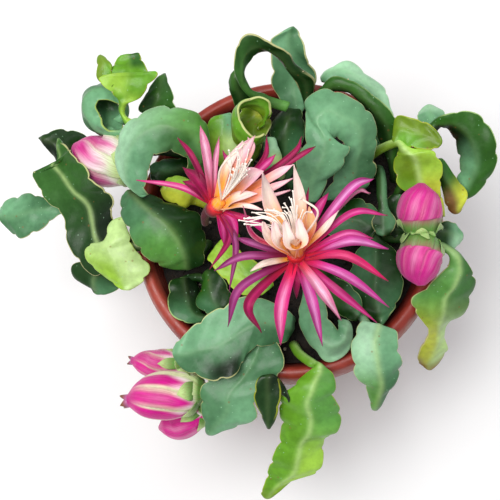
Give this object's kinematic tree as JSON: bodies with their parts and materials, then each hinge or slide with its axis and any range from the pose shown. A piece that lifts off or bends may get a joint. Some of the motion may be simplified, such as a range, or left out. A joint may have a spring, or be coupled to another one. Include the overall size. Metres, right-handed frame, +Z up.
{
  "type": "potted cactus plant",
  "caption": "Round plastic pot of soil with a trailing leaf-like cactus: flat curled stems with shallow lobes, open magenta and cream blooms, and closed pink buds.",
  "frame": {"origin": "centre of the pot's flat underside, on the surface that it stands on", "axes": "+Z up along the pot's axis; +Y towards the far side of the pot as it is usually seen, -Y towards the viewer; +X to the viewer's right"},
  "size_m": [0.4211, 0.371, 0.3185],
  "materials": {
    "pot": "satin terracotta-coloured plastic",
    "soil": "dark crumbly potting mix",
    "stem_bluish": "waxy bluish green",
    "stem_green": "waxy green",
    "stem_dark": "waxy dark green",
    "stem_lime": "waxy yellow-green",
    "petal_magenta": "soft magenta petal",
    "petal_cream": "soft cream petal",
    "stamen_white": "soft white",
    "bud": "smooth pink and white bud"
  },
  "bodies": {
    "root": {"pot": "pot", "soil": "soil", "stem_left_arch": "stem_bluish", "stem_left_folded": "stem_green", "stem_left_yellow": "stem_lime", "stem_left_shade": "stem_dark", "stem_left_broad": "stem_green", "stem_left_pale": "stem_lime", "stem_left_dark": "stem_dark", "stem_upper_left_folded": "stem_lime", "stem_upper_left_wedge": "stem_dark", "stem_top_ring": "stem_green", "stem_top_bluish": "stem_bluish", "stem_top_band": "stem_dark", "stem_top_green_ring": "stem_green", "stem_top_pale": "stem_lime", "stem_top_dark": "stem_dark", "stem_top_spiral": "stem_bluish", "stem_top_far_pale": "stem_bluish", "stem_top_arch": "stem_dark", "stem_right_loop": "stem_dark", "stem_right_lobed": "stem_lime", "stem_right_round": "stem_bluish", "stem_right_pale_leaf": "stem_bluish", "stem_right_broad_dark": "stem_dark", "stem_centre_right_dark": "stem_dark", "stem_lower_right_pointed": "stem_bluish", "stem_lower_large": "stem_lime", "stem_lower_left_large": "stem_bluish", "stem_lower_curly": "stem_bluish", "stem_centre_yellow": "stem_lime", "stem_lower_left_curled": "stem_dark", "stem_lower_right_dark": "stem_dark", "bloom_front_outer_petals": "petal_magenta", "bloom_front_inner_petals": "petal_cream", "bloom_front_stamens": "stamen_white", "bloom_rear_outer_petals": "petal_magenta", "bloom_rear_inner_petals": "petal_cream", "bloom_rear_stamens": "stamen_white", "bud_left": "bud", "bud_right_upper": "bud", "bud_right_lower": "bud", "bud_lower_small": "bud", "bud_lower_large": "bud", "bud_lower_hidden": "bud"}
  },
  "joints": []
}
